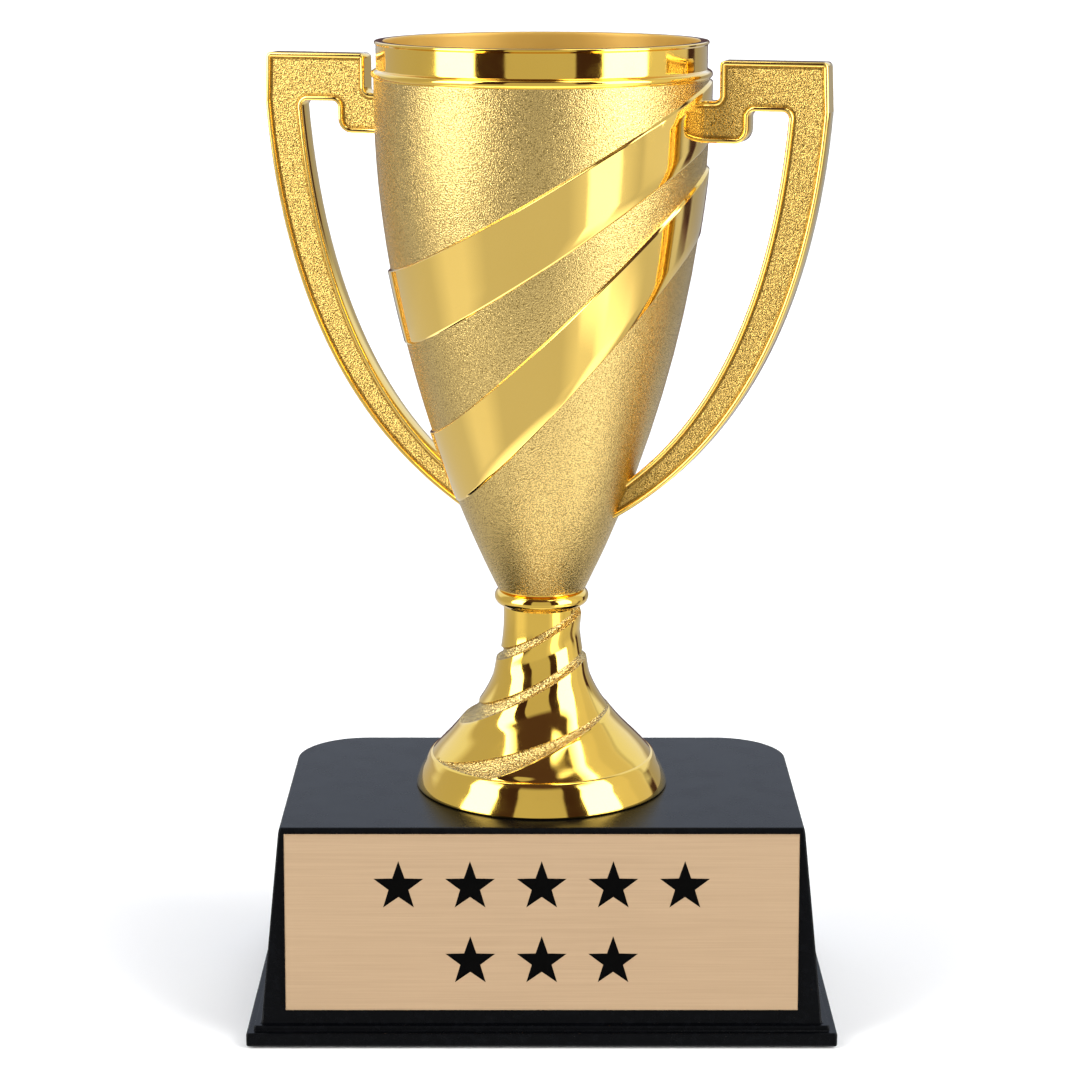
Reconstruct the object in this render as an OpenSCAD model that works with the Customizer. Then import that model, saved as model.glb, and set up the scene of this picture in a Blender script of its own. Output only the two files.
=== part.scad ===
// Award cup on a weighted base block, standing on its felt.
// Origin: centre of the underside. +Z is up, the name plate faces -Y.

/* [Base] */
// Height of the base, felt to top
base_h = 32.8; // [31:0.1:36]
// Width of the base at its top edge
base_top_w = 77.9; // [77.5:0.1:84]
// Depth of the base at its top edge
base_top_d = 46; // [44:0.1:52]
// How far the block widens on each side from top to bottom
base_flare = 2.8; // [1:0.1:3.5]
// How far the plinth stands out from the block on each side
plinth_out = 2.2; // [1.5:0.1:3]
// Height of the plinth's upright edge
plinth_h = 2.4; // [2:0.1:4]
// Rounding of the two back corners, seen from above
base_back_r = 12; // [4:0.5:14]
// Thickness of the base's walls
base_wall = 2.5; // [2:0.1:3]

/* [Name plate] */
// Width of the name plate
plate_w = 76.2; // [60:0.1:76.4]
// Height of the name plate
plate_h = 26.7; // [18:0.1:26.9]
// Thickness of the name plate
plate_t = 0.6; // [0.5:0.1:1]
// Distance from the base's top edge down to the plate
plate_drop = 0.8; // [0.6:0.1:1]
// Outer radius of the engraved stars
star_r = 3.9; // [2.5:0.1:4]

/* [Bowl] */
// Height of the cup, foot to rim
cup_h = 113.7; // [113:0.1:116]
// Outer radius of the bowl under the rim
bowl_r = 24.7; // [24.3:0.1:25]
// Thickness of the bowl's wall
bowl_wall = 1.7; // [1.4:0.1:2]
// How far the spiral bands stand out from the bowl
band_rise = 0.45; // [0.2:0.05:0.6]

/* [Stem and foot] */
// Height of the stem, up to the bead ring
stem_h = 28.3; // [27.7:0.1:28.8]
// Radius of the stem at its waist
stem_r = 5.85; // [5.6:0.05:6.1]
// Radius of the foot
foot_r = 19.4; // [18.8:0.1:20]
// Height of the foot's skirt
skirt_h = 5; // [4.6:0.1:5.4]
// Depth of the stem's spiral grooves
groove_depth = 0.4; // [0.2:0.05:0.6]

/* [Handles] */
// How far the cup is turned on its base, so that the right handle comes forwards
handle_turn = 18; // [0:1:40]
// Thickness of a handle
handle_t = 3.6; // [3:0.1:4.5]
// Width of the raised border
border_w = 0.7; // [0.5:0.05:1.2]
// Depth of the sunk panel inside the border
panel_depth = 0.5; // [0.2:0.1:0.8]

/* [Clamping rod] */
// Radius of the rod (M6)
rod_r = 3; // [3:0.1:3]
// Length of the rod
rod_l = 64; // [60:0.5:68]

/* [Hidden] */

$fn = 96;
GOLD = [0.85, 0.68, 0.30];
STEEL = [0.62, 0.63, 0.65];
BLACK = [0.06, 0.06, 0.07];
BIG = 200;

// The base's heights
felt_t = 1;
board_t = 2;
shell_foot_z = 0.3;
plinth_step = 0.8;
block_z = plinth_h + 2 * plinth_step;
ceiling_t = 2.4;
block_w = base_top_w + 2 * base_flare;
block_d = base_top_d + 2 * base_flare;
taper = atan(base_flare / (base_h - block_z));
pocket_z = felt_t + board_t;
glue_gap = 0.2;

// The weight hangs on two bosses, with room for the rod's nut
boss_r = 7;
boss_z = 20;
screw_x = 27;
screw_r = 1.5;
weight_top = 18;
weight_t = 10;
weight_w = 66;
weight_d = 36;

// Nuts and washers (M6)
washer_r = 6;
washer_t = 1.6;
nut_flats = 10;
nut_t = 5;
thread_gap = 0.02;
rod_gap = 0.3;

// Heights on the cup, from the foot
ring_h = 3;
bowl_z = stem_h + ring_h;
ring_r = 7.2;
bowl_top = 104.9;
floor_z = 36;
bead_z = 108.9;
bead_h = 0.6;
rod_z = boss_z - washer_t - nut_t - 2;

// ---- Shapes shared by several pieces ----

// Point on a cubic curve with end points a and d, pulled towards b and c
function curve(a, b, c, d, t) =
    pow(1 - t, 3) * a + 3 * pow(1 - t, 2) * t * b + 3 * (1 - t) * t * t * c + pow(t, 3) * d;
function curve_points(a, b, c, d, n) = [for (i = [0:n]) curve(a, b, c, d, i / n)];

// A round arc about a centre
function arc(c, r, from, to, n) =
    [for (i = [0:n]) let (a = from + (to - from) * i / n) c + r * [cos(a), sin(a)]];

function shifted(points, by) = [for (p = points) p + by];
function backwards(points) = [for (i = [len(points) - 1:-1:0]) points[i]];

// The bowl's outside, from the rim bead down to the ring
bowl_side = concat(
    [[bowl_r, bead_z - bead_h - 0.1]],
    curve_points([bowl_r, bowl_top], [24.8, 75.7], [14.75, 47.3], [ring_r - 0.4, bowl_z], 16)
);
// The stem's outside, from the ring down to the skirt
stem_side = curve_points([stem_r, stem_h], [5.3, 13.6], [13.2, 9.8], [16.9, skirt_h], 14);

// Everything on the cup sits on the base's top
module on_base() {
    translate([0, 0, base_h]) children();
}

// Plan of the base: sharp front corners, round back corners
module base_outline(w, d, r) {
    polygon(concat(
        [[-w / 2, -d / 2], [w / 2, -d / 2]],
        arc([w / 2 - r, d / 2 - r], r, 0, 90, 10),
        arc([r - w / 2, d / 2 - r], r, 90, 180, 10)
    ));
}

module tapered_block(w, d, r, z0, z1, shrink) {
    hull() {
        translate([0, 0, z0]) linear_extrude(0.01) base_outline(w, d, r);
        translate([0, 0, z1 - 0.01]) linear_extrude(0.01)
            base_outline(w - 2 * shrink, d - 2 * shrink, r - shrink / 2);
    }
}

// Half space in front of (side = -1) or behind (side = 1) the cup's axis, between two sloping
// lines z = height + slope * x
module slanted_band(upper, lower, side) {
    x = 30;
    y0 = side < 0 ? -x : 0;
    translate([0, y0 + x, 0]) rotate([90, 0, 0]) linear_extrude(x)
        polygon([
            [-x, lower[0] - lower[1] * x], [x, lower[0] + lower[1] * x],
            [x, upper[0] + upper[1] * x], [-x, upper[0] - upper[1] * x],
        ]);
}

// ---- Base ----

module base_shell() {
    color(BLACK) difference() {
        union() {
            translate([0, 0, shell_foot_z]) linear_extrude(plinth_h - shell_foot_z)
                base_outline(block_w + 2 * plinth_out, block_d + 2 * plinth_out, base_back_r + plinth_out);
            translate([0, 0, plinth_h]) linear_extrude(plinth_step)
                base_outline(block_w + plinth_out, block_d + plinth_out, base_back_r + plinth_out / 2);
            tapered_block(block_w, block_d, base_back_r, plinth_h + plinth_step, base_h, base_flare);
        }
        difference() {
            tapered_block(block_w - 2 * base_wall, block_d - 2 * base_wall, base_back_r - base_wall,
                          -1, base_h - ceiling_t, base_flare);
            translate([0, 0, boss_z]) cylinder(r = boss_r, h = BIG);
            for (side = [-1, 1]) translate([side * screw_x, 0, weight_top]) cylinder(r = 4, h = BIG);
        }
        translate([0, 0, -1]) linear_extrude(pocket_z + 1)
            base_outline(block_w - 0.8, block_d - 0.8, base_back_r);
        translate([0, 0, -1]) cylinder(r = rod_r + rod_gap, h = BIG);
        for (side = [-1, 1]) translate([side * screw_x, 0, weight_top - 1]) cylinder(r = screw_r, h = 8);
    }
}

module base_weight() {
    color(STEEL) difference() {
        translate([-weight_w / 2, -weight_d / 2, weight_top - weight_t])
            cube([weight_w, weight_d, weight_t]);
        translate([0, 0, -1]) cylinder(r = 11, h = BIG);
        for (side = [-1, 1]) translate([side * screw_x, 0, -1]) cylinder(r = screw_r + 0.2, h = BIG);
    }
}

// Pan-head screws driven up through the weight into the bosses
module weight_screws() {
    color(STEEL) for (side = [-1, 1]) translate([side * screw_x, 0, weight_top - weight_t]) {
        translate([0, 0, -0.5]) cylinder(r = screw_r, h = weight_t + 6.5);
        difference() {
            rotate_extrude() polygon([[0, 0], [0, -2], [1.6, -2], [2.6, -1.5], [3, -0.8], [3, 0]]);
            translate([-0.4, -1.8, -2.5]) cube([0.8, 3.6, 1.3]);
            translate([-1.8, -0.4, -2.5]) cube([3.6, 0.8, 1.3]);
        }
    }
}

module bottom_board() {
    color([0.45, 0.33, 0.22]) translate([0, 0, felt_t]) linear_extrude(board_t)
        base_outline(block_w - 1.2, block_d - 1.2, base_back_r);
}

module felt_pad() {
    color([0.10, 0.22, 0.15]) linear_extrude(felt_t)
        base_outline(block_w - 1.6, block_d - 1.6, base_back_r);
}

// Places flat work on the block's sloping front: x across, y up the slope, z outwards
module on_front_face() {
    translate([0, -base_top_d / 2, base_h]) rotate([90 - taper, 0, 0])
        translate([0, -plate_drop - plate_h / 2, 0]) children();
}

module plate_adhesive() {
    color([0.85, 0.83, 0.75]) on_front_face() linear_extrude(glue_gap)
        square([plate_w - 3, plate_h - 3], center = true);
}

module star(r) {
    polygon([for (i = [0:9]) (i % 2 == 0 ? r : 0.40 * r) * [sin(36 * i), cos(36 * i)]]);
}

// Two rows of stars, five over three
module star_rows() {
    pitch = 10.6;
    row_gap = 5.9;
    for (i = [-2:2]) translate([i * pitch, row_gap - 0.4]) star(star_r);
    for (i = [-1:1]) translate([i * pitch, -row_gap]) star(star_r);
}

engraving_depth = 0.15;

module name_plate() {
    color([0.86, 0.72, 0.55]) on_front_face() difference() {
        translate([-plate_w / 2, -plate_h / 2, glue_gap]) cube([plate_w, plate_h, plate_t]);
        translate([0, 0, glue_gap + plate_t - engraving_depth]) linear_extrude(1) star_rows();
    }
}

module plate_emblem() {
    color(BLACK) on_front_face()
        translate([0, 0, glue_gap + plate_t - engraving_depth]) linear_extrude(engraving_depth) star_rows();
}

// ---- Cup ----

// Skin of a turned side, from depth inside to rise outside it, cut to one slanted band
module band_on(side, depth, rise, upper, lower, half) {
    intersection() {
        rotate_extrude() polygon(concat(shifted(side, [rise, 0]), backwards(shifted(side, [-depth, 0]))));
        slanted_band(upper, lower, half);
    }
}

// Spiral bands as [upper line, lower line, half]: two cross the front and run on round the back
bowl_bands = [
    [[93.6, 0.59], [82.6, 0.67], -1],
    [[71.8, 0.97], [59.2, 1.12], -1],
    [[124, -0.64], [114.8, -0.64], 1],
    [[111, -0.64], [100.4, -0.64], 1],
    [[53.4, -1.18], [50.3, -0.92], 1],
    [[33.8, -1.32], [31.3, -1.02], 1],
];

// Spiral grooves of the stem, in the same form
stem_grooves = [
    [[25.2, 0.55], [23.8, 0.60], -1],
    [[18.1, 0.52], [16.6, 0.55], -1],
    [[9.7, 0.29], [8.1, 0.41], -1],
    [[21.6, 0.02], [20.1, 0.02], 1],
    [[12.9, -0.03], [11.4, 0.09], 1],
];

lip_h = 0.5;
lip_r = bowl_r - 0.2;
rim_r = bowl_r - 0.7;
rim_wall = 0.9;
bead_r = bowl_r + 0.4;
inner_side = shifted(bowl_side, [-bowl_wall, 0]);
inner_floor = [for (p = inner_side) if (p[1] > floor_z + 1) p];

bowl_outside = concat(
    [[lip_r, cup_h], [lip_r, cup_h - lip_h], [rim_r, cup_h - lip_h - 0.2], [rim_r, bead_z + bead_h]],
    arc([bead_r - bead_h, bead_z], bead_h, 70, -70, 6),
    bowl_side
);
bowl_inside = concat(
    [[0, floor_z], [inner_floor[len(inner_floor) - 1][0] - 0.6, floor_z]],
    backwards(inner_floor),
    [[rim_r - 1.2, bead_z], [rim_r - rim_wall, cup_h]]
);

module bowl() {
    color(GOLD) on_base() difference() {
        union() {
            rotate_extrude() polygon(concat([[0, bowl_z]], bowl_inside, bowl_outside));
            for (b = bowl_bands) band_on(bowl_side, 0.8, band_rise, b[0], b[1], b[2]);
        }
        cylinder(r = rod_r + 0.2, h = floor_z + 1);
        for (turn = [0, 180]) rotate([0, 0, turn - handle_turn]) handle_tenons();
    }
}

module neck_ring() {
    bead = 1.2;
    color(GOLD) on_base() difference() {
        rotate_extrude() polygon(concat(
            [[0, stem_h], [stem_r, stem_h], [stem_r + 0.2, stem_h + 0.5]],
            arc([ring_r - bead, stem_h + ring_h / 2], bead, -80, 80, 8),
            [[stem_r + 0.5, bowl_z - 0.5], [ring_r - 0.4, bowl_z], [0, bowl_z]]
        ));
        cylinder(r = rod_r + 0.2, h = BIG);
    }
}

module stem_foot() {
    hollow = [for (p = stem_side) if (p[0] > rod_r + 3.2) p - [1.8, 1.4]];
    color(GOLD) on_base() difference() {
        rotate_extrude() polygon(concat(
            [[0, 0], [foot_r, 0], [foot_r, 0.7], [foot_r - 0.4, 2], [foot_r - 1.2, 3.5]],
            backwards(stem_side),
            [[0, stem_h]]
        ));
        rotate_extrude() polygon(concat(
            [[0, -1], [foot_r - 2, -1], [foot_r - 2.2, 1.5]],
            backwards(hollow),
            [[0, hollow[0][1]]]
        ));
        translate([0, 0, -1]) cylinder(r = rod_r + 0.2, h = BIG);
        for (g = stem_grooves) band_on(stem_side, groove_depth, 1, g[0], g[1], g[2]);
    }
}

// ---- Handles: drawn in the handle's own plane, x outwards from the cup's axis ----

root_x = bowl_r - 1.5;
tab_top = 105.5;
tab_bottom = 99.5;
tab_x = 31.7;
tab_round = 2.1;
neck_x = 27.4;
shoulder_top = 111.3;
shoulder_bottom = 104.2;
shoulder_x = 43.2;
handle_outer = curve_points([43.5, shoulder_bottom], [40.9, 68], [25.3, 50.5], [10.3, 41.9], 18);
handle_inner = curve_points([37.7, shoulder_bottom], [34.2, 56.9], [10.7, 48.3], [12.6, 47.2], 18);

module handle_outline() {
    polygon(concat(
        [[root_x, tab_top], [neck_x, tab_top], [neck_x, shoulder_top], [shoulder_x, shoulder_top]],
        handle_outer,
        backwards(handle_inner),
        [[tab_x, shoulder_bottom]],
        arc([tab_x - tab_round, tab_bottom + tab_round], tab_round, 0, -90, 6),
        [[root_x, tab_bottom]]
    ));
}

// Pegs that reach into the bowl's wall at the tab and at the lower end
module handle_tenons() {
    depth = 1;
    reach = 1.2;
    peg_t = handle_t - 1.6;
    for (peg = [[bowl_r - 0.2, 101, 3], [13.9, 45.4, 1.8]])
        translate([peg[0] - depth, -peg_t / 2, peg[1]]) cube([depth + reach, peg_t, peg[2]]);
}

module handle(turn) {
    difference() {
        translate([0, handle_t / 2, 0]) rotate([90, 0, 0]) linear_extrude(handle_t) handle_outline();
        for (face = [-1, 1]) translate([0, face * handle_t / 2 + panel_depth, 0])
            rotate([90, 0, 0]) linear_extrude(2 * panel_depth) offset(delta = -border_w) handle_outline();
        rotate_extrude() polygon(concat([[0, bowl_z], [0, cup_h], [bowl_r, cup_h]], bowl_side));
        rotate([0, 0, -turn]) for (b = bowl_bands) band_on(bowl_side, 0.1, band_rise, b[0], b[1], b[2]);
    }
    handle_tenons();
}

module handle_right() {
    color(GOLD) on_base() rotate([0, 0, -handle_turn]) handle(-handle_turn);
}

module handle_left() {
    color(GOLD) on_base() rotate([0, 0, 180 - handle_turn]) handle(180 - handle_turn);
}

// ---- Clamping rod with its nuts and washers ----

module washer(z) {
    color(STEEL) translate([0, 0, z]) difference() {
        cylinder(r = washer_r, h = washer_t);
        translate([0, 0, -1]) cylinder(r = rod_r + 0.2, h = BIG);
    }
}

// Hexagon nut with chamfered corners
module nut(z) {
    corner_r = nut_flats / 2 / cos(30);
    color(STEEL) translate([0, 0, z]) difference() {
        intersection() {
            cylinder(r = corner_r, h = nut_t, $fn = 6);
            rotate_extrude() polygon([
                [0, 0], [corner_r - 0.6, 0], [corner_r, 0.4], [corner_r, nut_t - 0.4],
                [corner_r - 0.6, nut_t], [0, nut_t],
            ]);
        }
        translate([0, 0, -1]) cylinder(r = rod_r + thread_gap, h = BIG);
    }
}

module center_rod() {
    color(STEEL) translate([0, 0, rod_z]) rotate_extrude()
        polygon([[0, 0], [rod_r - 0.6, 0], [rod_r, 0.6], [rod_r, rod_l - 0.6], [rod_r - 0.6, rod_l], [0, rod_l]]);
}

module bottom_washer() { washer(boss_z - washer_t); }
module bottom_nut() { nut(boss_z - washer_t - nut_t); }
module top_washer() { washer(base_h + floor_z); }
module top_nut() { nut(base_h + floor_z + washer_t); }

base_shell();
base_weight();
weight_screws();
bottom_board();
felt_pad();
name_plate();
plate_adhesive();
plate_emblem();
stem_foot();
neck_ring();
bowl();
handle_left();
handle_right();
center_rod();
top_nut();
top_washer();
bottom_nut();
bottom_washer();
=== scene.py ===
"""Award cup on a weighted base block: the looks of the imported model.

All shapes are worked out in millimetres from the frame's own boxes and a few curves. The cup's heights
are measured from the base's top, where its foot stands.
"""

import math

import bmesh
import bpy
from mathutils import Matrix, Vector
from mathutils.geometry import tessellate_polygon


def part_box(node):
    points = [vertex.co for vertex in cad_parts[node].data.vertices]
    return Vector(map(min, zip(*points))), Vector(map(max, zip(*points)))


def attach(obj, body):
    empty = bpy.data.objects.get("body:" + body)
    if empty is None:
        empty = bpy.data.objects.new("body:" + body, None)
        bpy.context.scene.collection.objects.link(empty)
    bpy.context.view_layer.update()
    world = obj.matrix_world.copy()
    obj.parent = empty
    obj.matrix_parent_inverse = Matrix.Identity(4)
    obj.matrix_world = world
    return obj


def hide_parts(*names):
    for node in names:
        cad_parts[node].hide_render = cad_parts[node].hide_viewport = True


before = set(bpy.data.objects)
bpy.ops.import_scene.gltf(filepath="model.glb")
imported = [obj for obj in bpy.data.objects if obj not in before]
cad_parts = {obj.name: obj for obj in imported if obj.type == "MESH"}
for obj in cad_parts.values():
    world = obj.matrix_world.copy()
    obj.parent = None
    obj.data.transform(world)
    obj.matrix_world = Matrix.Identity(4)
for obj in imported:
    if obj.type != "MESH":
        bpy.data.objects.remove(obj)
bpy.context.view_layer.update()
MM = 0.001
TAU = 2 * math.pi


def size_of(node):
    """Lowest and highest corner of a node in millimetres."""
    low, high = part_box(node)
    return [v / MM for v in low], [v / MM for v in high]


# ---- Driving sizes, in millimetres ----

HEIGHT = 2                           # which of a corner's numbers is its height
BASE_H = size_of("base_shell")[1][HEIGHT]
RIM_Z = size_of("bowl")[1][HEIGHT] - BASE_H
RING_LOW = size_of("neck_ring")[0][HEIGHT] - BASE_H
RING_HIGH = size_of("neck_ring")[1][HEIGHT] - BASE_H
RING_R = size_of("neck_ring")[1][0]
FOOT_R = size_of("stem_foot")[1][0]
BEAD_R = size_of("bowl")[1][0]       # the bead under the rim is the bowl's widest place
BOWL_R = BEAD_R - 0.4
BOWL_WALL = 1.7
BEAD_Z = RIM_Z - 4.8
BEAD_H = 0.6
BODY_TOP = BEAD_Z - BEAD_H - 0.1
FLOOR_Z = 36                         # the cup's floor, inside
ROD_R = 3
ROD_HOLE_R = ROD_R + 0.2
HANDLE_TURN = math.radians(18)
HANDLE_T = 3.6
SKIRT_H = 5


# ---- Curves ----

def bezier(a, b, c, d, n):
    """n + 1 points on a cubic curve."""
    points = []
    for i in range(n + 1):
        t = i / n
        weights = ((1 - t) ** 3, 3 * (1 - t) ** 2 * t, 3 * (1 - t) * t * t, t ** 3)
        corners = list(zip(weights, (a, b, c, d)))
        points.append((sum(w * p[0] for w, p in corners), sum(w * p[1] for w, p in corners)))
    return points


def arc(cx, cy, r, start, end, n):
    """n + 1 points on an arc, its angles in degrees."""
    angles = [math.radians(start + (end - start) * i / n) for i in range(n + 1)]
    return [(cx + r * math.cos(a), cy + r * math.sin(a)) for a in angles]


# The turned sides as (radius, height), from the top down.
STEM_TOP_R = 5.85
BOWL_SIDE = [(BOWL_R, BODY_TOP)]
BOWL_SIDE += bezier((BOWL_R, 104.9), (24.8, 75.7), (14.75, 47.3), (RING_R - 0.4, RING_HIGH), 60)
STEM_SIDE = bezier((STEM_TOP_R, RING_LOW), (5.3, 13.6), (13.2, 9.8), (16.9, SKIRT_H), 50)


def radius_on(side, z):
    """Radius of a turned side at height z; the side runs downwards."""
    if z >= side[0][1]:
        return side[0][0]
    for (r0, z0), (r1, z1) in zip(side, side[1:]):
        if z >= z1:
            return r1 + (r0 - r1) * (z - z1) / (z0 - z1)
    return side[-1][0]


def smooth(x):
    """0 below 0, 1 above 1, and an even S between."""
    x = min(max(x, 0), 1)
    return x * x * (3 - 2 * x)


# ---- Mesh helpers ----

BROAD = 12 * MM * MM    # area from which a plane counts as broad
WELD = 0.002 * MM       # points closer than this become one


def shade(mesh, sharp):
    """Smooth over edges that turn less than so many degrees; broad planes stay flat."""
    mesh.shade_smooth()
    mesh.set_sharp_from_angle(angle=math.radians(sharp))
    planes = {}
    for face in mesh.polygons:
        offset = face.normal.dot(face.center) / MM
        key = tuple(round(c, 2) for c in face.normal) + (round(offset, 1),)
        planes.setdefault(key, []).append(face)
    for faces in planes.values():
        if sum(f.area for f in faces) > BROAD:
            for face in faces:
                face.use_smooth = False


def make_object(name, verts, faces, materials, sharp, slots=None, body="cup"):
    """An object from millimetre points; slots gives each face's place in the materials."""
    mesh = bpy.data.meshes.new(name)
    mesh.from_pydata([tuple(c * MM for c in v) for v in verts], [], faces)
    for m in materials:
        mesh.materials.append(m)
    if slots:
        mesh.polygons.foreach_set("material_index", slots)
    bm = bmesh.new()
    bm.from_mesh(mesh)
    bmesh.ops.remove_doubles(bm, verts=bm.verts, dist=WELD)
    bmesh.ops.dissolve_degenerate(bm, dist=WELD, edges=bm.edges)
    bmesh.ops.recalc_face_normals(bm, faces=bm.faces)
    bm.to_mesh(mesh)
    bm.free()
    shade(mesh, sharp)
    obj = bpy.data.objects.new(name, mesh)
    bpy.context.scene.collection.objects.link(obj)
    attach(obj, body)
    return obj


def grid_faces(columns, rows, spiral=None, wrap_rows=True):
    """Quads of a grid that closes round its columns, and its rows too unless told not to.

    spiral gives (first row, rows, shift): those rows climb by the shift where the last column
    meets the first.
    """
    def met(r):
        """The row of the first column that the last column's row runs into."""
        if spiral and spiral[0] <= r < spiral[0] + spiral[1]:
            return max(r - spiral[2], spiral[0])
        return r

    faces = []
    for c in range(columns):
        for r in range(rows if wrap_rows else rows - 1):
            below = (r + 1) % rows
            last = c == columns - 1
            following = ((c + 1) % columns) * rows
            near, far = (met(r), met(below)) if last else (r, below)
            faces.append((c * rows + r, c * rows + below, following + far, following + near))
    return faces


def at_angle(profile, angle):
    """A column's (radius, height) points placed round the axis; 0 is in front."""
    return [(r * math.sin(angle), -r * math.cos(angle), z + BASE_H) for r, z in profile]


def strip_faces(near, far, count):
    """Quads between two loops of so many vertices that start at these numbers."""
    return [(near + i, near + (i + 1) % count, far + (i + 1) % count, far + i) for i in range(count)]


# ---- Materials ----

class Nodes:
    """Short calls for building a material's or world's node tree."""

    def __init__(self, owner):
        owner.use_nodes = True
        self.tree = owner.node_tree
        self.tree.nodes.clear()

    def add(self, kind, **sockets):
        """A node; each socket by its name with _ for a space, or by its number as i0, i1 and so on."""
        node = self.tree.nodes.new(kind)
        for key, value in sockets.items():
            numbered = key[0] == "i" and key[1:].isdigit()
            self.feed(node.inputs[int(key[1:]) if numbered else key.replace("_", " ")], value)
        return node

    def feed(self, socket, value):
        """Link an output to the socket, or set its value."""
        if isinstance(value, bpy.types.NodeSocket):
            self.tree.links.new(value, socket)
        else:
            socket.default_value = value

    def math(self, operation, a, b=0.0):
        node = self.add("ShaderNodeMath", i0=a, i1=b)
        node.operation = operation
        return node.outputs[0]

    def spread(self, value, low, high, to_low, to_high):
        """The value's range from low to high stretched over another one."""
        node = self.add("ShaderNodeMapRange", Value=value, From_Min=low, From_Max=high,
                        To_Min=to_low, To_Max=to_high)
        return node.outputs[0]

    def position(self):
        """The point on the object, in metres."""
        return self.add("ShaderNodeTexCoord").outputs["Object"]

    def noise(self, scale, detail=2.0, vector=None, rough=0.5):
        """Noise with so many grains to the metre."""
        node = self.add("ShaderNodeTexNoise", Vector=vector or self.position(), Scale=scale,
                        Detail=detail, Roughness=rough)
        return node.outputs["Fac"]

    def mix(self, factor, a, b):
        """Colour a where the factor is 0, b where it is 1."""
        node = self.tree.nodes.new("ShaderNodeMix")
        node.data_type = "RGBA"
        for number, value in ((0, factor), (6, a), (7, b)):
            self.feed(node.inputs[number], value)
        return node.outputs[2]

    def bump(self, height, distance, strength=1.0, normal=None):
        """A normal that follows the height, so many metres deep."""
        node = self.add("ShaderNodeBump", Height=height, Distance=distance, Strength=strength)
        if normal is not None:
            self.feed(node.inputs["Normal"], normal)
        return node.outputs[0]

    def principled(self, **sockets):
        """End the material with one shader."""
        shader = self.add("ShaderNodeBsdfPrincipled", **sockets)
        self.add("ShaderNodeOutputMaterial", Surface=shader.outputs[0])


def material(name):
    """A new material and its nodes."""
    mat = bpy.data.materials.new(name)
    return mat, Nodes(mat)


def rgb(r, g, b):
    return (r, g, b, 1.0)


def polished_gold(name, light, deep):
    """Vacuum-plated plastic: a mirror with the mould's faint waves and a few dull specks."""
    mat, n = material(name)
    waves = n.bump(n.noise(90, 1.0), 0.00004, 0.5)
    specks = n.bump(n.noise(2600), 0.000002, 0.35, waves)
    rough = n.spread(n.noise(400, 3.0), 0.35, 0.75, 0.05, 0.12)
    colour = n.mix(n.spread(n.noise(60), 0.3, 0.7, 0, 1), deep, light)
    n.principled(Base_Color=colour, Metallic=1.0, Roughness=rough, Normal=specks,
                 Coat_Weight=0.5, Coat_Roughness=0.04)
    return mat


def textured_gold(name, grain, depth, light, pit_shade, rough=(0.16, 0.24)):
    """Plating over a spark-eroded mould face: small pits, so many to the metre, with painted shade at their
    bottoms.
    """
    mat, n = material(name)
    pits = n.noise(grain, 1.0, rough=0.6)
    normal = n.bump(n.spread(pits, 0.3, 0.7, 0, 1), depth)
    # Painted shade: the pits' bottoms take the darker second colour.
    colour = n.mix(n.spread(pits, 0.34, 0.50, 1, 0), light, pit_shade)
    n.principled(Base_Color=colour, Metallic=1.0, Normal=normal,
                 Roughness=n.spread(n.noise(grain * 0.6), 0.3, 0.7, *rough))
    return mat


def sprayed_gold():
    """The cup's inside: a satin gold lacquer with a faint orange peel."""
    mat, n = material("gold_inside")
    cloud = n.spread(n.noise(150), 0.3, 0.7, 0, 1)
    colour = n.mix(cloud, rgb(0.54, 0.32, 0.060), rgb(0.60, 0.37, 0.075))
    n.principled(Base_Color=colour, Metallic=0.45, Roughness=0.48,
                 Normal=n.bump(n.noise(1200), 0.00001, 0.5))
    return mat


def moulded_black():
    """Black satin plastic with a very fine orange peel and a little dust."""
    mat, n = material("base_black")
    dust = n.spread(n.noise(900, 3.0), 0.5, 0.8, 0, 1)
    colour = n.mix(dust, rgb(0.0014, 0.0016, 0.0022), rgb(0.003, 0.0034, 0.0045))
    rough = n.spread(n.noise(220, 4.0), 0.3, 0.75, 0.25, 0.29)
    n.principled(Base_Color=colour, Roughness=rough, Normal=n.bump(n.noise(1500), 0.000006, 0.5), IOR=1.17)
    return mat


def brushed_plate():
    """Rose-gold anodised aluminium, brushed along its width."""
    mat, n = material("plate_brass")
    drawn_out = n.add("ShaderNodeMapping", Vector=n.position(), Scale=(0.012, 1, 1)).outputs[0]
    lines = n.noise(5200, 3.0, drawn_out)
    broad = n.noise(900, 2.0, drawn_out)
    streaks = n.math("ADD", n.math("MULTIPLY", broad, 0.2), n.math("MULTIPLY", lines, 0.8))
    tone = n.mix(n.spread(streaks, 0.36, 0.64, 0, 1), rgb(0.385, 0.265, 0.156), rgb(0.435, 0.305, 0.184))
    n.principled(Base_Color=tone, Metallic=0.3, Roughness=n.spread(lines, 0.3, 0.7, 0.66, 0.74),
                 Normal=n.bump(lines, 0.000012, 0.6))
    return mat


def plain(name, colour, metallic, rough, grain=800, depth=0.00001, vary=0.15, ior=1.5):
    """A lesser part's finish: a colour that varies a little, with a grain."""
    mat, n = material(name)
    patch = n.noise(grain, 3.0)
    darker = rgb(*(c * (1 - vary) for c in colour[:3]))
    tone = n.mix(n.spread(patch, 0.3, 0.7, 0, 1), colour, darker)
    n.principled(Base_Color=tone, Metallic=metallic, IOR=ior, Normal=n.bump(patch, depth, 0.6),
                 Roughness=n.spread(patch, 0.3, 0.7, rough - 0.05, rough + 0.08))
    return mat


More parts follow.
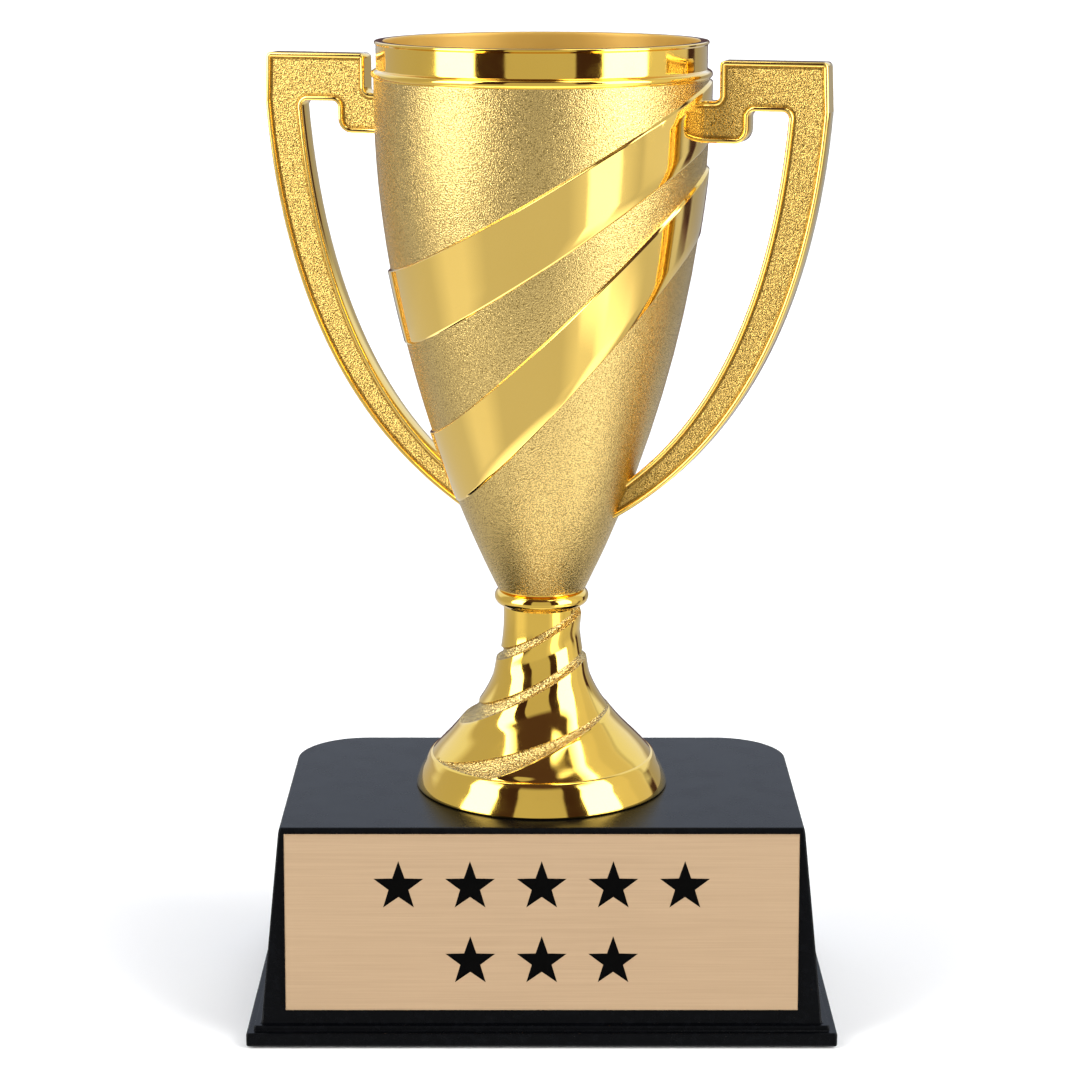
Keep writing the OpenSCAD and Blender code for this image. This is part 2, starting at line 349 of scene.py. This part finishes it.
def felt():
    """Green felt: short fibres in every direction."""
    mat, n = material("felt")
    fibres = n.noise(2400, 4.0, rough=0.7)
    tone = n.mix(n.spread(fibres, 0.3, 0.7, 0, 1), rgb(0.020, 0.075, 0.045), rgb(0.045, 0.13, 0.085))
    n.principled(Base_Color=tone, Roughness=0.95, Normal=n.bump(fibres, 0.0002, 0.9), Sheen_Weight=0.4)
    return mat


MAT_POLISHED = polished_gold("gold_polished", rgb(0.93, 0.61, 0.095), rgb(0.89, 0.57, 0.085))
MAT_BAND = polished_gold("gold_band", rgb(0.93, 0.64, 0.155), rgb(0.90, 0.61, 0.14))
# The second colour of each grained gold is painted shade for its pits.
MAT_BOWL = textured_gold("gold_bowl", 5700, 0.000032, rgb(0.72, 0.52, 0.19), rgb(0.33, 0.22, 0.06),
                         rough=(0.18, 0.26))
MAT_HANDLE = textured_gold("gold_handle", 5200, 0.00006, rgb(0.70, 0.47, 0.13), rgb(0.20, 0.115, 0.02))
MAT_GROOVE = textured_gold("gold_groove", 4300, 0.00009, rgb(0.74, 0.55, 0.21), rgb(0.22, 0.13, 0.03))
# Painted shade: a dark brown gold for the handle border's walls beside the panel, standing in for the dark
# line of shade and dark reflection there.
MAT_SHADE_LINE = textured_gold("gold_painted_shade_line", 5200, 0.00004, rgb(0.36, 0.21, 0.04), rgb(0.16, 0.09, 0.015),
                           rough=(0.25, 0.35))
MAT_INSIDE = sprayed_gold()
MAT_BLACK = moulded_black()
MAT_PLATE = brushed_plate()
MAT_INK = plain("engraving", rgb(0.002, 0.002, 0.002), 0.0, 0.6, ior=1.05)
MAT_TAPE = plain("adhesive", rgb(0.75, 0.72, 0.62), 0.0, 0.6)
MAT_IRON = plain("weight_steel", rgb(0.16, 0.16, 0.165), 0.9, 0.55, 600, 0.0001, 0.3)
MAT_ZINC = plain("zinc_steel", rgb(0.62, 0.63, 0.64), 1.0, 0.28, 500, 0.00001, 0.12)
MAT_BOARD = plain("board", rgb(0.33, 0.22, 0.13), 0.0, 0.8, 1300, 0.00006, 0.35)
MAT_FELT = felt()


# ---- Spirals: bands of the bowl and grooves of the stem ----
# Each edge follows a plane z = height + slope * x, written (height, slope): one plane for the front half
# and one for the back half, which meet at the sides. A pair of edges bounds a band or a groove, and is
# written (upper, lower). OFF_TOP and OFF_BOTTOM stand for a half where it has run off the surface.

ABOVE = (200.0, 0.0)
BELOW = (-200.0, 0.0)
OFF_TOP = (ABOVE, ABOVE)
OFF_BOTTOM = (BELOW, BELOW)
MEETING_WIDTH = 0.3     # how broadly the halves merge at the sides, as a share of the radius
SETTLING_STEPS = 30


def edge_height(side, front, back, angle):
    """Where an edge crosses the column at this angle (0 in front, growing to the right)."""
    heights = []
    for start, slope in (front, back):
        z = start
        for _ in range(SETTLING_STEPS):
            z = 0.5 * z + 0.5 * (start + slope * radius_on(side, z) * math.sin(angle))
        heights.append(z)
    in_front, behind = heights
    share = smooth(0.5 - math.cos(angle) / MEETING_WIDTH)
    return in_front + (behind - in_front) * share


def spiral_rows(side, pairs, angle, top, bottom, pair_rows, field_rows):
    """Rows down one column as (height, place across a pair from 0 to 1 or None, the pair's height there).

    pair_rows gives the places across a pair, and field_rows is how many rows lie between pairs.
    """
    rows = []
    z = top
    for pair in pairs:
        upper, lower = (min(max(edge_height(side, *e, angle), bottom), top) for e in pair)
        upper, lower = min(upper, z), min(upper, lower, z)
        wide = upper - lower
        rows += [(z + (upper - z) * i / field_rows, None, 0) for i in range(field_rows)]
        rows += [(upper - wide * place, place, wide) for place in pair_rows(wide)]
        z = lower
    rows += [(z + (bottom - z) * i / field_rows, None, 0) for i in range(field_rows + 1)]
    return rows


BAND_A = ((93.6, 0.59), (82.6, 0.67))
BAND_B = ((71.8, 0.97), (59.2, 1.12))
BACK_HIGH = ((111.0, -0.64), (100.4, -0.64))
BACK_MID = ((53.4, -1.18), (50.3, -0.92))
BACK_LOW = ((33.8, -1.32), (31.3, -1.02))
TOP_WEDGE = ((124.0, -0.64), (114.8, -0.64))


def joined(*halves):
    """(front, back) pairs of edges as (upper, lower) edges, each a (front, back) of planes."""
    return [tuple(zip(front, back)) for front, back in halves]


def bowl_pairs(angle):
    """The bands met on the way down the column at this angle."""
    if angle < 0:
        return joined((OFF_TOP, BACK_HIGH), (BAND_A, BACK_MID), (BAND_B, BACK_LOW),
                      (OFF_BOTTOM, OFF_BOTTOM), (OFF_BOTTOM, OFF_BOTTOM))
    return joined((OFF_TOP, OFF_TOP), (BAND_A, TOP_WEDGE), (BAND_B, BACK_HIGH),
                  (OFF_BOTTOM, BACK_MID), (OFF_BOTTOM, BACK_LOW))


GROOVE_A = ((25.2, 0.55), (23.8, 0.60))
GROOVE_B = ((18.1, 0.52), (16.6, 0.55))
GROOVE_C = ((9.7, 0.29), (8.1, 0.41))
GROOVE_BACK_HIGH = ((21.6, 0.02), (20.1, 0.02))
GROOVE_BACK_LOW = ((12.9, -0.03), (11.4, 0.09))


def stem_pairs(angle):
    """The grooves met on the way down the column at this angle."""
    if angle < 0:
        return joined((GROOVE_A, GROOVE_BACK_HIGH), (GROOVE_B, GROOVE_BACK_LOW), (GROOVE_C, OFF_BOTTOM))
    return joined((GROOVE_A, OFF_TOP), (GROOVE_B, GROOVE_BACK_HIGH), (GROOVE_C, GROOVE_BACK_LOW))


# ---- Bowl ----

BAND_EDGE = 0.4
BAND_RISE = 0.45
BOWL_COLUMNS = 320
BOWL_FIELD_ROWS = 9
POLISHED, BAND, GRAINED, INSIDE = range(4)


def edge_share(width, wide):
    """An edge's width as a share of a pair's, never so much that the two edges meet."""
    return min(width / max(wide, 0.01), 0.3)


def band_rows(wide):
    """Places across a band: a bevel at each edge and even rows between."""
    edge = edge_share(BAND_EDGE, wide)
    inner = [edge + (1 - 2 * edge) * i / 5 for i in range(6)]
    return [0, edge * 0.5, edge * 0.75] + inner + [1 - edge * 0.4]


def band_height(place, wide):
    """How far a band stands out: sharp at its upper edge, falling away to its lower one."""
    edge = edge_share(BAND_EDGE, wide)
    crest = BAND_RISE * smooth(min(wide / 3, 1))
    body = crest * (1 - 0.45 * place)
    return body * smooth(place / edge) * smooth((1 - place) / (edge * 0.6))


def bowl_head():
    """From the mouth's inside over the lip, down the rim band and round the bead."""
    lip_r, rim_r, mouth_r = BOWL_R - 0.15, BOWL_R - 0.38, BOWL_R - 1.55
    bead_top = BEAD_Z + BEAD_H
    inner_lip = arc(mouth_r + 0.25, RIM_Z - 0.25, 0.25, 180, 90, 3)
    outline = [(rim_r - 1.2, BEAD_Z), (mouth_r, RIM_Z - 0.6)] + inner_lip
    inner_count = 4
    outline += arc(lip_r - 0.2, RIM_Z - 0.2, 0.2, 90, 0, 4)
    outline += [(lip_r, RIM_Z - 0.36), (rim_r + 0.1, RIM_Z - 0.5)]
    outline += [(rim_r, RIM_Z - 0.6), (rim_r, RIM_Z - 0.75)]
    outline += [(rim_r, bead_top + 0.5), (rim_r, bead_top + 0.3), (rim_r + 0.05, bead_top + 0.12)]
    outline += arc(BEAD_R - BEAD_H, BEAD_Z, BEAD_H, 80, -70, 10)
    return [(r, z, INSIDE if i < inner_count else POLISHED) for i, (r, z) in enumerate(outline)]


def bowl_lining():
    """From the rod's hole over the cup's floor and up its inside."""
    levels = (BODY_TOP - 0.5, 100, 94, 88, 82, 76, 70, 64, 58, 52, 47, 43, 40, FLOOR_Z + 2.2)
    wall = [(radius_on(BOWL_SIDE, z) - BOWL_WALL, z) for z in levels]
    fillet = arc(wall[-1][0] - 1.6, FLOOR_Z + 1.6, 1.6, -20, -90, 6)
    outline = [(ROD_HOLE_R, RING_HIGH), (ROD_HOLE_R, FLOOR_Z)] + fillet[::-1] + wall[::-1]
    return [(r, z, INSIDE) for r, z in outline]


def bowl():
    """The cup's shell: each column is a closed loop of (radius, height, finish)."""
    head, lining = bowl_head(), bowl_lining()
    verts, slots = [], []
    for c in range(BOWL_COLUMNS):
        angle = -math.pi + TAU * c / BOWL_COLUMNS
        rows = spiral_rows(BOWL_SIDE, bowl_pairs(angle), angle, BODY_TOP, RING_HIGH,
                           band_rows, BOWL_FIELD_ROWS)
        ring = list(head)
        for z, place, wide in rows:
            if place is None:
                ring.append((radius_on(BOWL_SIDE, z), z, GRAINED))
            else:
                ring.append((radius_on(BOWL_SIDE, z) + band_height(place, wide), z, BAND))
        ring += lining
        verts += at_angle([(r, z) for r, z, _ in ring], angle)
        kinds = [kind for _, _, kind in ring]
        for kind, following in zip(kinds, kinds[1:] + kinds[:1]):
            slots.append(INSIDE if kind == GRAINED and following == INSIDE else kind)
    spiral = (len(head), len(rows), 2 * (BOWL_FIELD_ROWS + len(band_rows(1))))
    faces = grid_faces(BOWL_COLUMNS, len(ring), spiral)
    finishes = [MAT_POLISHED, MAT_BAND, MAT_BOWL, MAT_INSIDE]
    return make_object("bowl_shell", verts, faces, finishes, sharp=38, slots=slots)


# ---- Stem, foot and ring ----

GROOVE_DEPTH = 0.45
GROOVE_EDGE = 0.3
CREST = 0.35            # the swell below each groove
CREST_FADE = 3.5
STEM_COLUMNS = 288
STEM_FIELD_ROWS = 12


def groove_rows(wide):
    """Places across a groove: its two slopes and its floor."""
    edge = edge_share(GROOVE_EDGE, wide)
    return [0, edge * 0.5, edge, 0.5, 1 - edge, 1 - edge * 0.5]


def stem_profile(rows):
    """The grooved side of one column as (radius, height, 1 in a groove), with a crest under each groove."""
    profile, crest, crest_z = [], 0, None
    for z, place, wide in rows:
        if place is not None:
            edge = edge_share(GROOVE_EDGE, wide)
            strength = smooth(min(wide / 0.8, 1))
            crest_z, crest = z, CREST * strength
            rise = -GROOVE_DEPTH * strength * smooth(place / edge) * smooth((1 - place) / edge)
            rise += crest * smooth((place - 1 + edge) / edge)
        elif crest_z is None:
            rise = 0
        else:
            rise = crest * (1 - smooth((crest_z - z) / CREST_FADE)) * smooth((z - SKIRT_H) / 0.8)
        profile.append((radius_on(STEM_SIDE, z) + rise, z, 0 if place is None else 1))
    return profile


def foot_outline():
    """The skirt's steep side, its lower edge and the hollow underneath, up to the stem's top."""
    skirt = [(FOOT_R - 2.25, SKIRT_H - 0.04), (FOOT_R - 2.05, SKIRT_H - 0.22)]
    skirt += [(FOOT_R - 1.62, 3.85), (FOOT_R - 1.1, 2.95), (FOOT_R - 0.65, 2.1)]
    skirt += [(FOOT_R - 0.28, 1.25), (FOOT_R - 0.06, 0.6), (FOOT_R, 0.3)]
    skirt += arc(FOOT_R - 0.25, 0.25, 0.25, 0, -90, 3)
    under = [(FOOT_R - 2, 0), (FOOT_R - 2.2, 1.5)]
    under += [(r - 1.8, z - 1.4) for r, z in STEM_SIDE[::-5] if r > ROD_R + 3.2]
    under += [(ROD_HOLE_R, under[-1][1]), (ROD_HOLE_R, RING_LOW)]
    return [(r, z, 0) for r, z in skirt + under]


def stem_foot():
    """The stem and foot: each column is a closed loop of (radius, height, finish)."""
    foot = foot_outline()
    verts, slots = [], []
    for c in range(STEM_COLUMNS):
        angle = -math.pi + TAU * c / STEM_COLUMNS
        rows = spiral_rows(STEM_SIDE, stem_pairs(angle), angle, RING_LOW, SKIRT_H,
                           groove_rows, STEM_FIELD_ROWS)
        ring = stem_profile(rows) + foot
        verts += at_angle([(r, z) for r, z, _ in ring], angle)
        slots += [kind for _, _, kind in ring]
    spiral = (0, len(rows), STEM_FIELD_ROWS + len(groove_rows(1)))
    faces = grid_faces(STEM_COLUMNS, len(ring), spiral)
    return make_object("stem_and_foot", verts, faces, [MAT_POLISHED, MAT_GROOVE], sharp=40, slots=slots)


def neck_ring():
    """The bead between bowl and stem, with a short step at each end."""
    columns, bead_r = 192, 1.2
    middle = (RING_LOW + RING_HIGH) / 2
    outline = [(ROD_HOLE_R, RING_LOW), (STEM_TOP_R, RING_LOW), (STEM_TOP_R + 0.2, RING_LOW + 0.3)]
    outline += arc(RING_R - bead_r, middle, bead_r, -80, 80, 16)
    outline += [(RING_R - 0.5, RING_HIGH - 0.2), (RING_R - 0.5, RING_HIGH), (ROD_HOLE_R, RING_HIGH)]
    verts = [point for c in range(columns) for point in at_angle(outline, TAU * c / columns)]
    return make_object("ring_bead", verts, grid_faces(columns, len(outline)), [MAT_POLISHED], sharp=40)


# ---- Handles ----

TAB_TOP, TAB_BOTTOM, TAB_X = 105.5, 99.5, 31.7
SHOULDER_TOP, SHOULDER_LOW, SHOULDER_X = 111.3, 104.2, 43.2
NECK_X = 27.4
BOW_X = 37.7            # the bow's inner side, just under the shoulder
ROOT_X = BOWL_R - 1.5   # inside the bowl's wall
PANEL_DEPTH = 0.5


def handle_corners():
    """Corners of the outline as (x, z, rounding), clockwise from the tab's root."""
    outer = bezier((43.5, SHOULDER_LOW), (40.9, 68), (25.3, 50.5), (10.3, 41.9), 40)
    inner = bezier((BOW_X, SHOULDER_LOW), (34.2, 56.9), (10.7, 48.3), (12.6, 47.2), 40)
    corners = [(ROOT_X, TAB_TOP, 0), (NECK_X, TAB_TOP, 0.8), (NECK_X, SHOULDER_TOP, 0.7)]
    corners += [(SHOULDER_X, SHOULDER_TOP, 0.7)]
    corners += [(x, z, 0) for x, z in outer]
    corners += [(x, z, 0) for x, z in inner[:0:-1]]
    corners += [(BOW_X, SHOULDER_LOW, 0.9), (TAB_X, SHOULDER_LOW, 0.9)]
    corners += [(TAB_X, TAB_BOTTOM, 2.1), (ROOT_X, TAB_BOTTOM, 0)]
    return corners


ROUNDING_STEPS = 6
SMALLEST_ROUNDING = 0.06


def moved_sides(corners, inset):
    """The outline's sides moved inwards, each as (point, direction)."""
    sides = []
    for (x0, z0, _), (x1, z1, _) in zip(corners, corners[1:] + corners[:1]):
        length = math.hypot(x1 - x0, z1 - z0)
        dx, dz = (x1 - x0) / length, (z1 - z0) / length
        sides.append(((x0 + dz * inset, z0 - dx * inset), (dx, dz)))
    return sides


def crossing(before, after):
    """Where two sides meet, or the second one's start where they run on straight."""
    (p, d), (q, e) = before, after
    cross = d[0] * e[1] - d[1] * e[0]
    if abs(cross) < 1e-3:
        return q
    t = ((q[0] - p[0]) * e[1] - (q[1] - p[1]) * e[0]) / cross
    return (p[0] + d[0] * t, p[1] + d[1] * t)


def rounded(corner, d, e, rounding, inset):
    """Points of an arc in place of the corner between directions d and e."""
    cross = d[0] * e[1] - d[1] * e[0]
    side = 1 if cross > 0 else -1
    turn = math.acos(max(-1, min(1, d[0] * e[0] + d[1] * e[1])))
    r = max(rounding + side * inset, SMALLEST_ROUNDING)
    back = r * math.tan(turn / 2)
    start = (corner[0] - d[0] * back, corner[1] - d[1] * back)
    centre = (start[0] - side * d[1] * r, start[1] + side * d[0] * r)
    first = math.atan2(start[1] - centre[1], start[0] - centre[0])
    angles = [first + side * turn * k / ROUNDING_STEPS for k in range(ROUNDING_STEPS + 1)]
    return [(centre[0] + r * math.cos(a), centre[1] + r * math.sin(a)) for a in angles]


def inset_loop(corners, inset):
    """The outline moved inwards; the number of points never changes."""
    sides = moved_sides(corners, inset)
    loop = []
    for i, (_, _, rounding) in enumerate(corners):
        corner = crossing(sides[i - 1], sides[i])
        if rounding:
            loop += rounded(corner, sides[i - 1][1], sides[i][1], rounding, inset)
        else:
            loop.append(corner)
    return loop


def handle(name, turn):
    """A flat bow with a rounded, polished border round a sunk, grained panel on both faces; the border's
    walls down to the panel are a dark gold of painted shade.
    """
    corners = handle_corners()
    half = HANDLE_T / 2
    panel = half - PANEL_DEPTH
    # the border's section from the outline's middle to the panel, as (inset, distance from the middle)
    border = [(0, 0), (0, half - 0.32), (0.08, half - 0.12), (0.22, half - 0.02), (0.42, half)]
    border += [(0.60, half - 0.08), (0.70, half - 0.25), (0.76, panel + 0.06), (1.08, panel)]
    section = [(inset, -v) for inset, v in border[:0:-1]] + border
    loops = [[(x, -v, z) for x, z in inset_loop(corners, inset)] for inset, v in section]
    count = len(loops[0])
    verts = [point for loop in loops for point in loop]
    border_slot, panel_slot, shade_line_slot = range(3)
    faces, slots = [], []
    for k in range(len(loops) - 1):
        faces += strip_faces(k * count, (k + 1) * count, count)
        # The walls down to the panel take the dark gold of painted shade.
        beside_panel = k in (0, len(loops) - 2)
        slots += [shade_line_slot if beside_panel else border_slot] * count
    for start in (0, (len(loops) - 1) * count):
        flat = [Vector((x, z, 0)) for x, _, z in verts[start:start + count]]
        for triangle in tessellate_polygon([flat]):
            faces.append(tuple(start + i for i in triangle))
            slots.append(panel_slot)
    cos, sin = math.cos(turn), math.sin(turn)
    placed = [(x * cos - y * sin, x * sin + y * cos, z + BASE_H) for x, y, z in verts]
    return make_object(name, placed, faces, [MAT_BAND, MAT_HANDLE, MAT_SHADE_LINE], sharp=50, slots=slots)


# ---- Base ----

TOP_W, TOP_D = 77.9, 46.0
FLARE, PLINTH_OUT, PLINTH_H, PLINTH_STEP = 2.8, 2.2, 2.4, 0.8
FRONT_R, BACK_R = 0.35, 12.0
BLOCK_Z = PLINTH_H + 2 * PLINTH_STEP
SHELL_WALL = 2.5


def plan(grow):
    """The block's bottom outline grown by so much all round: small front corners, large back ones."""
    half_w, half_d = TOP_W / 2 + FLARE + grow, TOP_D / 2 + FLARE + grow
    back_r = max(BACK_R + grow / 2, 0.5)
    loop = arc(-half_w + FRONT_R, -half_d + FRONT_R, FRONT_R, 180, 270, 6)
    loop += arc(half_w - FRONT_R, -half_d + FRONT_R, FRONT_R, 270, 360, 6)
    loop += arc(half_w - back_r, half_d - back_r, back_r, 0, 90, 20)
    loop += arc(-half_w + back_r, half_d - back_r, back_r, 90, 180, 20)
    return loop


def base_shell():
    """The hollow block, lofted through (grow, height) levels from its inside round to its top."""
    shell_foot = size_of("base_shell")[0][HEIGHT]
    out, half_out = PLINTH_OUT, PLINTH_OUT / 2
    step_top = PLINTH_H + PLINTH_STEP
    inside = [(-FLARE - SHELL_WALL, BASE_H - 2.4), (-SHELL_WALL, 6), (-SHELL_WALL, 3)]
    inside += [(-0.4, 3), (-0.4, shell_foot)]
    plinth = [(out - 0.3, shell_foot), (out - 0.08, shell_foot + 0.08), (out, shell_foot + 0.3)]
    plinth += [(out, PLINTH_H - 0.3), (out - 0.08, PLINTH_H - 0.08), (out - 0.3, PLINTH_H)]
    step = [(half_out + 0.12, PLINTH_H), (half_out + 0.02, PLINTH_H + 0.08), (half_out, PLINTH_H + 0.25)]
    step += [(half_out, step_top - 0.2), (half_out - 0.05, step_top - 0.05), (half_out - 0.2, step_top)]
    block = [(0.35, step_top), (0.12, step_top + 0.1), (0.02, step_top + 0.35)]
    block += [(-FLARE * share, BLOCK_Z + (BASE_H - BLOCK_Z) * share) for share in (0.05, 0.5, 0.97)]
    top = [(-FLARE - 0.02, BASE_H - 0.35), (-FLARE - 0.1, BASE_H - 0.12), (-FLARE - 0.25, BASE_H - 0.03)]
    top += [(-FLARE - 0.45, BASE_H)]
    levels = inside + plinth + step + block + top
    verts = [(x, y, z) for grow, z in levels for x, y in plan(grow)]
    count = len(plan(0))
    faces = []
    for k in range(len(levels) - 1):
        faces += strip_faces(k * count, (k + 1) * count, count)
    last = (len(levels) - 1) * count
    faces += [tuple(range(count)), tuple(last + i for i in range(count))]
    return make_object("base_block", verts, faces, [MAT_BLACK], sharp=35, body="base")


def stand_for(obj, node):
    """Hide the CAD node that the object stands in for."""
    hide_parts(node)


def bevelled(node, finish, width, body, shortest=0):
    """A node's own shape with its edges broken, apart from those no longer than the shortest."""
    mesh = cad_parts[node].data.copy()
    bm = bmesh.new()
    bm.from_mesh(mesh)
    bmesh.ops.remove_doubles(bm, verts=bm.verts, dist=WELD / 2)
    bmesh.ops.dissolve_limit(bm, angle_limit=math.radians(2), verts=bm.verts, edges=bm.edges)
    edges = [e for e in bm.edges if len(e.link_faces) == 2 and e.calc_face_angle() > math.radians(28)]
    edges = [e for e in edges if e.calc_length() > shortest * MM]
    bmesh.ops.bevel(bm, geom=edges, offset=width * MM, segments=2, affect="EDGES", clamp_overlap=True)
    bmesh.ops.triangulate(bm, faces=[f for f in bm.faces if len(f.verts) > 4])
    bm.to_mesh(mesh)
    bm.free()
    mesh.materials.clear()
    mesh.materials.append(finish)
    shade(mesh, 30)
    obj = bpy.data.objects.new(node + "_finished", mesh)
    bpy.context.scene.collection.objects.link(obj)
    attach(obj, body)
    stand_for(obj, node)


def threaded_rod():
    """The clamping rod with its thread cut as a helix, 1 mm to a turn."""
    low, high = (corner[HEIGHT] for corner in size_of("center_rod"))
    pitch, depth, columns, rows_per_turn, axis_r, chamfer = 1.0, 0.55, 40, 6, 0.02, 0.6
    rows = int((high - low) / pitch * rows_per_turn)
    heights = [low + (high - low) * i / rows for i in range(rows + 1)]
    verts = []
    for c in range(columns):
        a = TAU * c / columns
        column = [(axis_r, low)]
        for z in heights:
            phase = (z / pitch - c / columns) % 1
            cut = depth * max(0, 1 - 2.6 * abs(phase - 0.5))
            end = min(z - low, high - z)
            column.append((min(ROD_R - cut, ROD_R - chamfer + end), z))
        column.append((axis_r, high))
        verts += [(r * math.cos(a), r * math.sin(a), z) for r, z in column]
    faces = grid_faces(columns, len(column), wrap_rows=False)
    return make_object("threaded_rod", verts, faces, [MAT_ZINC], sharp=50)


# ---- Putting it together ----

stand_for(bowl(), "bowl")
stand_for(stem_foot(), "stem_foot")
stand_for(neck_ring(), "neck_ring")
stand_for(handle("right_handle", -HANDLE_TURN), "handle_right")
stand_for(handle("left_handle", math.pi - HANDLE_TURN), "handle_left")
stand_for(base_shell(), "base_shell")
stand_for(threaded_rod(), "center_rod")

# The plate's outline is bevelled, but not the short edges of its engraving.
bevelled("name_plate", MAT_PLATE, 0.15, "base", shortest=20)
FINISHED = [
    ("base_weight", MAT_IRON, 0.5, "base", "weight_steel"),
    ("weight_screws", MAT_ZINC, 0.08, "base", "zinc_steel"),
    ("bottom_board", MAT_BOARD, 0.15, "base", "board"),
    ("felt_pad", MAT_FELT, 0.2, "base", "felt"),
    ("top_nut", MAT_ZINC, 0.12, "cup", "zinc_steel"),
    ("top_washer", MAT_ZINC, 0.15, "cup", "zinc_steel"),
    ("bottom_nut", MAT_ZINC, 0.12, "cup", "zinc_steel"),
    ("bottom_washer", MAT_ZINC, 0.15, "cup", "zinc_steel"),
]
for node, finish, width, body, slot_name in FINISHED:
    bevelled(node, finish, width, body)

for node, finish in (("plate_emblem", MAT_INK), ("plate_adhesive", MAT_TAPE)):
    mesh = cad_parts[node].data
    mesh.materials.clear()
    mesh.materials.append(finish)


# ---- Floor, light and camera ----

def floor():
    """A wide white floor that the gold doesn't mirror."""
    half = 4.0
    mesh = bpy.data.meshes.new("floor")
    corners = [(-half, -half, 0), (half, -half, 0), (half, half, 0), (-half, half, 0)]
    mesh.from_pydata(corners, [], [(0, 1, 2, 3)])
    obj = bpy.data.objects.new("floor", mesh)
    bpy.context.scene.collection.objects.link(obj)
    white, n = material("floor_white")
    n.principled(Base_Color=rgb(0.97, 0.97, 0.97), Roughness=0.8)
    mesh.materials.append(white)
    obj.visible_glossy = False


# The studio as panels on a sphere round the cup, each laid over those before it:
# ((azimuth from, to, softness), (elevation from, to, softness), brightness), the angles in degrees.
# Azimuth 0 is in front of the plate and grows to the right.
ROOM = [
    ((-185, -78, 4), (-16, 62, 5), 0.56),
    ((-50, 45, 2), (-6.5, 85, 2), 0.60),
    ((97, 119, 2), (-16, 62, 5), 0.75),
    ((131, 185, 3), (-16, 62, 5), 0.42),
    ((75, 98, 2), (-16, 62, 4), 0.85),
]
TABLE = [
    ((-84, -50, 9), (-48, -7, 5), 0.95),
    ((28, 64, 8), (-48, -7, 5), 1.0),
    ((54, 82, 6), (-64, -28, 7), 2.4),
    ((34, 57, 1.6), (-30, -7, 5), 2.6),
    ((101, 111, 2), (-48, -7, 3), 0.18),
]
SOFT_BOXES = [
    ((-77, -47, 0.8), (-6.5, 72, 1.0), 7.5),
    ((42.5, 77, 0.8), (-6.5, 62, 1.0), 7.5),
]
FLAGS = [
    ((-46, -25, 0.8), (-6.5, 66, 1.0), 0.05),
    ((23, 42, 0.8), (-6.5, 66, 1.0), 0.05),
    ((120, 131, 1.5), (-16, 62, 3), 0.06),
]
CEILING = [
    ((-64, 64, 8), (44, 80, 4), 0.09),
    ((28, 70, 5), (62, 78, 3), 6.0),
    ((-190, 190, 1), (82, 100, 3), 0.10),
]
BEHIND = [
    ((166, 185, 2), (-14, 8, 1.5), 0.10),
    ((-185, -166, 2), (-14, 8, 1.5), 0.10),
    ((120, 185, 5), (9, 50, 3), 1.05),
    ((-185, -120, 5), (9, 50, 3), 1.05),
]


def studio():
    """Two tall soft boxes, dark flags beside them and a grey room, as the gold sees them."""
    world = bpy.data.worlds.new("studio")
    bpy.context.scene.world = world
    n = Nodes(world)
    direction = n.add("ShaderNodeTexCoord").outputs["Generated"]
    x, y, z = n.add("ShaderNodeSeparateXYZ", Vector=direction).outputs
    azimuth = n.math("DEGREES", n.math("ARCTAN2", x, n.math("MULTIPLY", y, -1.0)))
    elevation = n.math("DEGREES", n.math("ARCSINE", z))

    def window(value, low, high, soft):
        """1 between low and high, with soft edges."""
        up = n.spread(value, low - soft, low + soft, 0, 1)
        down = n.spread(value, high - soft, high + soft, 1, 0)
        return n.math("MULTIPLY", up, down)

    level = n.spread(elevation, -63, -48, 2.9, 0.68)
    for across, upright, bright in ROOM + TABLE + SOFT_BOXES + FLAGS + CEILING + BEHIND:
        mask = n.math("MULTIPLY", window(azimuth, *across), window(elevation, *upright))
        uncovered = n.math("MULTIPLY", level, n.math("SUBTRACT", 1.0, mask))
        level = n.math("ADD", uncovered, n.math("MULTIPLY", mask, bright))

    tint = n.mix(n.spread(level, 0.05, 0.35, 0, 1), rgb(1.0, 0.52, 0.62), rgb(1.0, 1.0, 0.985))
    far_side = window(n.math("ABSOLUTE", azimuth), 120, 190, 5)
    behind = n.math("MULTIPLY", far_side, window(elevation, 9, 50, 3))
    tint = n.mix(behind, tint, rgb(0.88, 0.98, 1.18))
    light = n.add("ShaderNodeBackground", Color=tint, Strength=level)
    backdrop = n.add("ShaderNodeBackground", Color=rgb(1.0, 1.0, 1.0), Strength=1.0)
    camera_ray = n.add("ShaderNodeLightPath").outputs["Is Camera Ray"]
    mixed = n.add("ShaderNodeMixShader", Fac=camera_ray, i1=light.outputs[0], i2=backdrop.outputs[0])
    n.add("ShaderNodeOutputWorld", Surface=mixed.outputs[0])


def camera():
    """In front of the plate, above the rim, looking a little down."""
    data = bpy.data.cameras.new("camera")
    data.sensor_width = 36.0
    data.lens = 94.2
    data.clip_start = 0.01
    obj = bpy.data.objects.new("camera", data)
    obj.location = (-0.4 * MM, -419.5 * MM, (BASE_H + 135.8) * MM)
    obj.rotation_euler = (math.radians(90 - 13.05), 0, 0)
    bpy.context.scene.collection.objects.link(obj)
    bpy.context.scene.camera = obj


floor()
studio()
camera()
bpy.context.scene.view_settings.view_transform = "Standard"
